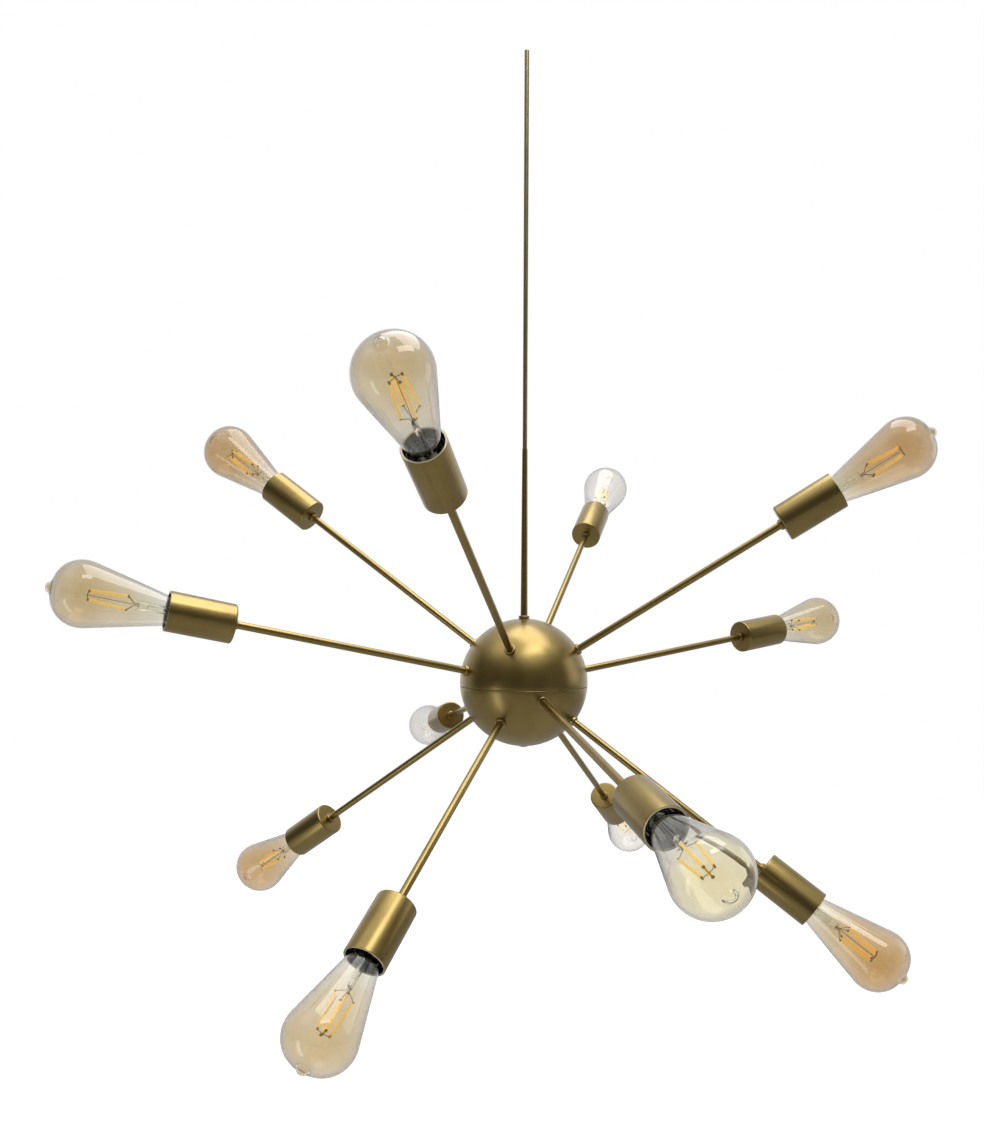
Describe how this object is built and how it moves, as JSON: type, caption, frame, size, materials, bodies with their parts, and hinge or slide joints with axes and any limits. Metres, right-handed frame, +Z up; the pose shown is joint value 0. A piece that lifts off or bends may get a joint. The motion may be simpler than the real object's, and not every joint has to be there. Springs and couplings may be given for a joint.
{
  "type": "sputnik chandelier",
  "caption": "Ball hub on a rod with straight radiating arms, each ending in a cylindrical cup that holds a pear-shaped filament bulb.",
  "frame": {"origin": "top end of the rod, on its axis", "axes": "+Z up along the rod; -Y towards the side that the picture shows"},
  "size_m": [0.8768, 0.936, 0.9861],
  "materials": {
    "brass": "satin",
    "amber_glass": "clear, lightly amber",
    "nickel": "satin",
    "black_holder": "satin",
    "white_block": "matt",
    "wire_sheath": "matt"
  },
  "bodies": {
    "root": {"arm_tube_a": "brass", "lamp_cup_a": "brass", "arm_tube_b": "brass", "lamp_cup_b": "brass", "arm_tube_c": "brass", "lamp_cup_c": "brass", "arm_tube_d": "brass", "lamp_cup_d": "brass", "arm_tube_e": "brass", "lamp_cup_e": "brass", "arm_tube_f": "brass", "lamp_cup_f": "brass", "arm_tube_g": "brass", "lamp_cup_g": "brass", "arm_tube_h": "brass", "lamp_cup_h": "brass", "arm_tube_i": "brass", "lamp_cup_i": "brass", "arm_tube_j": "brass", "lamp_cup_j": "brass", "arm_tube_k": "brass", "lamp_cup_k": "brass", "arm_tube_l": "brass", "lamp_cup_l": "brass", "hub_upper_shell": "brass", "hub_lower_shell": "brass", "hub_collars": "brass", "hub_lock_nuts": "brass", "cup_rings": "brass", "rod_lower": "brass", "rod_upper": "brass", "bottom_screw": "brass", "lampholder_bodies": "black_holder", "lampholder_contacts": "nickel", "terminal_block": "white_block", "wiring": "wire_sheath"},
    "bulb_cap_a": {"bulb_base_a": "nickel"},
    "bulb_a": {"bulb_glass_a": "amber_glass"},
    "bulb_cap_b": {"bulb_base_b": "nickel"},
    "bulb_b": {"bulb_glass_b": "amber_glass"},
    "bulb_cap_c": {"bulb_base_c": "nickel"},
    "bulb_c": {"bulb_glass_c": "amber_glass"},
    "bulb_cap_d": {"bulb_base_d": "nickel"},
    "bulb_d": {"bulb_glass_d": "amber_glass"},
    "bulb_cap_e": {"bulb_base_e": "nickel"},
    "bulb_e": {"bulb_glass_e": "amber_glass"},
    "bulb_cap_f": {"bulb_base_f": "nickel"},
    "bulb_f": {"bulb_glass_f": "amber_glass"},
    "bulb_cap_g": {"bulb_base_g": "nickel"},
    "bulb_g": {"bulb_glass_g": "amber_glass"},
    "bulb_cap_h": {"bulb_base_h": "nickel"},
    "bulb_h": {"bulb_glass_h": "amber_glass"},
    "bulb_cap_i": {"bulb_base_i": "nickel"},
    "bulb_i": {"bulb_glass_i": "amber_glass"},
    "bulb_cap_j": {"bulb_base_j": "nickel"},
    "bulb_j": {"bulb_glass_j": "amber_glass"},
    "bulb_cap_k": {"bulb_base_k": "nickel"},
    "bulb_k": {"bulb_glass_k": "amber_glass"},
    "bulb_cap_l": {"bulb_base_l": "nickel"},
    "bulb_l": {"bulb_glass_l": "amber_glass"}
  },
  "joints": [
    {"name": "bulb_travel_a", "type": "slide", "parent": "root", "child": "bulb_cap_a", "axis": [-0.8801, -0.4293, 0.2028], "range_m": [0, 0.01457]},
    {"name": "bulb_turn_a", "type": "hinge", "parent": "bulb_cap_a", "child": "bulb_a", "pos_m": [-0.34677, -0.16913, -0.6121], "axis": [-0.8801, -0.4293, 0.2028], "range_deg": [0, 1440]},
    {"name": "bulb_travel_b", "type": "slide", "parent": "root", "child": "bulb_cap_b", "axis": [-0.7747, 0.2295, 0.5892], "range_m": [0, 0.01457]},
    {"name": "bulb_turn_b", "type": "hinge", "parent": "bulb_cap_b", "child": "bulb_b", "pos_m": [-0.30524, 0.09042, -0.45986], "axis": [-0.7747, 0.2295, 0.5892], "range_deg": [0, 1440]},
    {"name": "bulb_travel_c", "type": "slide", "parent": "root", "child": "bulb_cap_c", "axis": [-0.2166, -0.8141, 0.5388], "range_m": [0, 0.01457]},
    {"name": "bulb_turn_c", "type": "hinge", "parent": "bulb_cap_c", "child": "bulb_c", "pos_m": [-0.08535, -0.32077, -0.47972], "axis": [-0.2166, -0.8141, 0.5388], "range_deg": [0, 1440]},
    {"name": "bulb_travel_d", "type": "slide", "parent": "root", "child": "bulb_cap_d", "axis": [0.2707, 0.7774, 0.5678], "range_m": [0, 0.01457]},
    {"name": "bulb_turn_d", "type": "hinge", "parent": "bulb_cap_d", "child": "bulb_d", "pos_m": [0.10666, 0.30628, -0.46827], "axis": [0.2707, 0.7774, 0.5678], "range_deg": [0, 1440]},
    {"name": "bulb_travel_e", "type": "slide", "parent": "root", "child": "bulb_cap_e", "axis": [0.8162, -0.2402, 0.5255], "range_m": [0, 0.01457]},
    {"name": "bulb_turn_e", "type": "hinge", "parent": "bulb_cap_e", "child": "bulb_e", "pos_m": [0.32158, -0.09465, -0.48496], "axis": [0.8162, -0.2402, 0.5255], "range_deg": [0, 1440]},
    {"name": "bulb_travel_f", "type": "slide", "parent": "root", "child": "bulb_cap_f", "axis": [0.8639, 0.4809, 0.1495], "range_m": [0, 0.01457]},
    {"name": "bulb_turn_f", "type": "hinge", "parent": "bulb_cap_f", "child": "bulb_f", "pos_m": [0.3404, 0.18946, -0.63308], "axis": [0.8639, 0.4809, 0.1495], "range_deg": [0, 1440]},
    {"name": "bulb_travel_g", "type": "slide", "parent": "root", "child": "bulb_cap_g", "axis": [-0.3099, 0.9262, -0.2147], "range_m": [0, 0.01457]},
    {"name": "bulb_turn_g", "type": "hinge", "parent": "bulb_cap_g", "child": "bulb_g", "pos_m": [-0.1221, 0.36492, -0.77661], "axis": [-0.3099, 0.9262, -0.2147], "range_deg": [0, 1440]},
    {"name": "bulb_travel_h", "type": "slide", "parent": "root", "child": "bulb_cap_h", "axis": [-0.7464, 0.3608, -0.5592], "range_m": [0, 0.01457]},
    {"name": "bulb_turn_h", "type": "hinge", "parent": "bulb_cap_h", "child": "bulb_h", "pos_m": [-0.29408, 0.14216, -0.91232], "axis": [-0.7464, 0.3608, -0.5592], "range_deg": [0, 1440]},
    {"name": "bulb_travel_i", "type": "slide", "parent": "root", "child": "bulb_cap_i", "axis": [-0.3533, -0.7543, -0.5534], "range_m": [0, 0.01457]},
    {"name": "bulb_turn_i", "type": "hinge", "parent": "bulb_cap_i", "child": "bulb_i", "pos_m": [-0.13921, -0.29718, -0.91004], "axis": [-0.3533, -0.7543, -0.5534], "range_deg": [0, 1440]},
    {"name": "bulb_travel_j", "type": "slide", "parent": "root", "child": "bulb_cap_j", "axis": [0.2657, -0.939, -0.2181], "range_m": [0, 0.01457]},
    {"name": "bulb_turn_j", "type": "hinge", "parent": "bulb_cap_j", "child": "bulb_j", "pos_m": [0.10469, -0.36998, -0.77795], "axis": [0.2657, -0.939, -0.2181], "range_deg": [0, 1440]},
    {"name": "bulb_travel_k", "type": "slide", "parent": "root", "child": "bulb_cap_k", "axis": [0.748, -0.3552, -0.5606], "range_m": [0, 0.01457]},
    {"name": "bulb_turn_k", "type": "hinge", "parent": "bulb_cap_k", "child": "bulb_k", "pos_m": [0.29472, -0.13994, -0.91289], "axis": [0.748, -0.3552, -0.5606], "range_deg": [0, 1440]},
    {"name": "bulb_travel_l", "type": "slide", "parent": "root", "child": "bulb_cap_l", "axis": [0.3592, 0.7599, -0.5417], "range_m": [0, 0.01457]},
    {"name": "bulb_turn_l", "type": "hinge", "parent": "bulb_cap_l", "child": "bulb_l", "pos_m": [0.14153, 0.29942, -0.90543], "axis": [0.3592, 0.7599, -0.5417], "range_deg": [0, 1440]}
  ],
  "couplings": [
    {"joint": "bulb_travel_a", "follows": "bulb_turn_a", "m_per_rad": 0.00057773},
    {"joint": "bulb_travel_b", "follows": "bulb_turn_b", "m_per_rad": 0.00057773},
    {"joint": "bulb_travel_c", "follows": "bulb_turn_c", "m_per_rad": 0.00057773},
    {"joint": "bulb_travel_d", "follows": "bulb_turn_d", "m_per_rad": 0.00057773},
    {"joint": "bulb_travel_e", "follows": "bulb_turn_e", "m_per_rad": 0.00057773},
    {"joint": "bulb_travel_f", "follows": "bulb_turn_f", "m_per_rad": 0.00057773},
    {"joint": "bulb_travel_g", "follows": "bulb_turn_g", "m_per_rad": 0.00057773},
    {"joint": "bulb_travel_h", "follows": "bulb_turn_h", "m_per_rad": 0.00057773},
    {"joint": "bulb_travel_i", "follows": "bulb_turn_i", "m_per_rad": 0.00057773},
    {"joint": "bulb_travel_j", "follows": "bulb_turn_j", "m_per_rad": 0.00057773},
    {"joint": "bulb_travel_k", "follows": "bulb_turn_k", "m_per_rad": 0.00057773},
    {"joint": "bulb_travel_l", "follows": "bulb_turn_l", "m_per_rad": 0.00057773}
  ]
}
